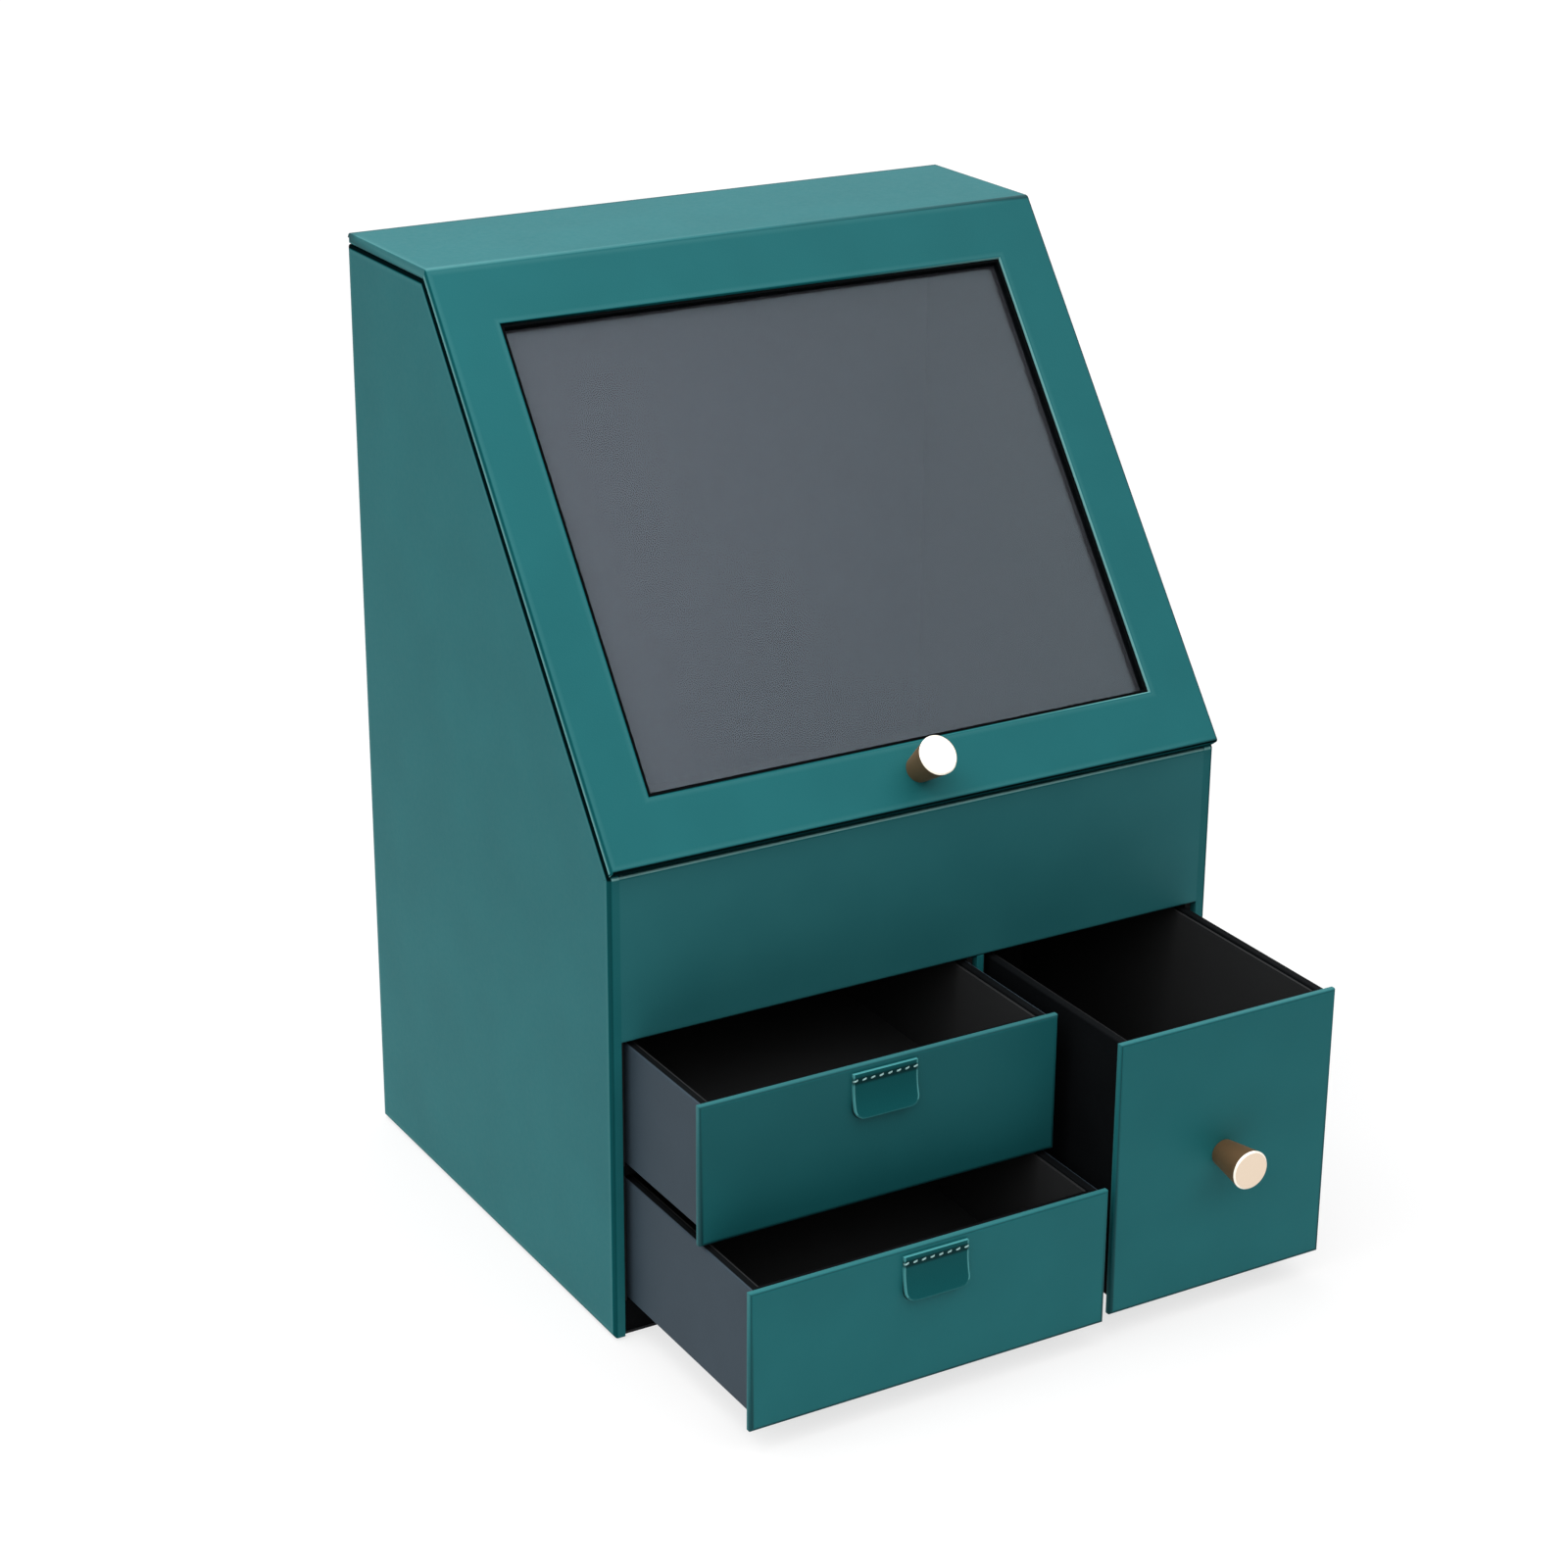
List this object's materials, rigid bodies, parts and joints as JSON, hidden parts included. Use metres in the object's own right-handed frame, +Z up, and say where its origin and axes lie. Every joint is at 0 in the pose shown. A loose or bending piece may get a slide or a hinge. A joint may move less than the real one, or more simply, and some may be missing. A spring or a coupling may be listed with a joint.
{
  "type": "makeup organizer",
  "caption": "Slant-front vanity box of leather-wrapped boards: windowed lift-up lid over a deep lined compartment, low drawers stacked beside a tall drawer.",
  "frame": {"origin": "centre of the cabinet's footprint, on the surface that it stands on", "axes": "+Z up; the front faces -Y and the drawers open towards -Y; +X to the right seen from the front; the lid turns about a line along X at the back top edge"},
  "size_m": [0.265, 0.315, 0.377],
  "materials": {
    "teal_leather": "smooth fine-grained coated leather wrap, satin",
    "black_lining": "short-pile flocked lining on card",
    "felt": "pressed felt",
    "tray_card": "greyboard wrapped in matt black paper",
    "black_edge": "black edge strip, matt",
    "clear_pane": "clear, polished",
    "brass": "turned and lacquered, satin side and polished face",
    "screw_steel": "zinc-plated screw"
  },
  "bodies": {
    "cabinet": {"base_felt": "felt", "base_panel": "tray_card", "left_side_panel": "teal_leather", "right_side_panel": "teal_leather", "back_panel": "teal_leather", "back_hinge_leaf": "teal_leather", "front_apron": "teal_leather", "compartment_floor": "tray_card", "floor_lining": "black_lining", "front_lining": "black_lining", "back_lining": "black_lining", "left_lining": "black_lining", "right_lining": "black_lining", "bay_divider": "teal_leather", "drawer_shelf": "tray_card", "lower_bay_lining_left": "black_lining", "lower_bay_lining_right": "black_lining", "upper_bay_lining_left": "black_lining", "upper_bay_lining_right": "black_lining", "tall_bay_lining_left": "black_lining", "tall_bay_lining_right": "black_lining"},
    "lid": {"lid_top_board": "teal_leather", "lid_window_frame": "teal_leather", "window_trim": "black_edge", "window_pane": "clear_pane", "lid_lining_frame": "black_lining", "lid_top_lining": "black_lining", "lid_hinge_leaf": "teal_leather", "lid_knob": "brass", "lid_knob_screw": "screw_steel"},
    "upper_drawer": {"upper_drawer_front": "teal_leather", "upper_drawer_tray_left": "tray_card", "upper_drawer_tray_right": "tray_card", "upper_drawer_tray_front": "tray_card", "upper_drawer_tray_back": "tray_card", "upper_drawer_tray_bottom": "tray_card", "upper_drawer_lining": "black_lining", "upper_drawer_pull_tab": "teal_leather"},
    "lower_drawer": {"lower_drawer_front": "teal_leather", "lower_drawer_tray_left": "tray_card", "lower_drawer_tray_right": "tray_card", "lower_drawer_tray_front": "tray_card", "lower_drawer_tray_back": "tray_card", "lower_drawer_tray_bottom": "tray_card", "lower_drawer_lining": "black_lining", "lower_drawer_pull_tab": "teal_leather"},
    "tall_drawer": {"tall_drawer_front": "teal_leather", "tall_drawer_tray_left": "tray_card", "tall_drawer_tray_right": "tray_card", "tall_drawer_tray_front": "tray_card", "tall_drawer_tray_back": "tray_card", "tall_drawer_tray_bottom": "tray_card", "tall_drawer_lining": "black_lining", "tall_drawer_knob": "brass", "tall_drawer_knob_screw": "screw_steel"}
  },
  "joints": [
    {"name": "lid_hinge", "type": "hinge", "parent": "cabinet", "child": "lid", "pos_m": [0, 0.1048, 0.3727], "axis": [-1, 0, 0], "range_deg": [0, 180]},
    {"name": "upper_drawer_slide", "type": "slide", "parent": "cabinet", "child": "upper_drawer", "axis": [0, -1, 0], "range_m": [-0.056, 0.094]},
    {"name": "lower_drawer_slide", "type": "slide", "parent": "cabinet", "child": "lower_drawer", "axis": [0, -1, 0], "range_m": [-0.092, 0.058]},
    {"name": "tall_drawer_slide", "type": "slide", "parent": "cabinet", "child": "tall_drawer", "axis": [0, -1, 0], "range_m": [-0.089, 0.061]}
  ]
}
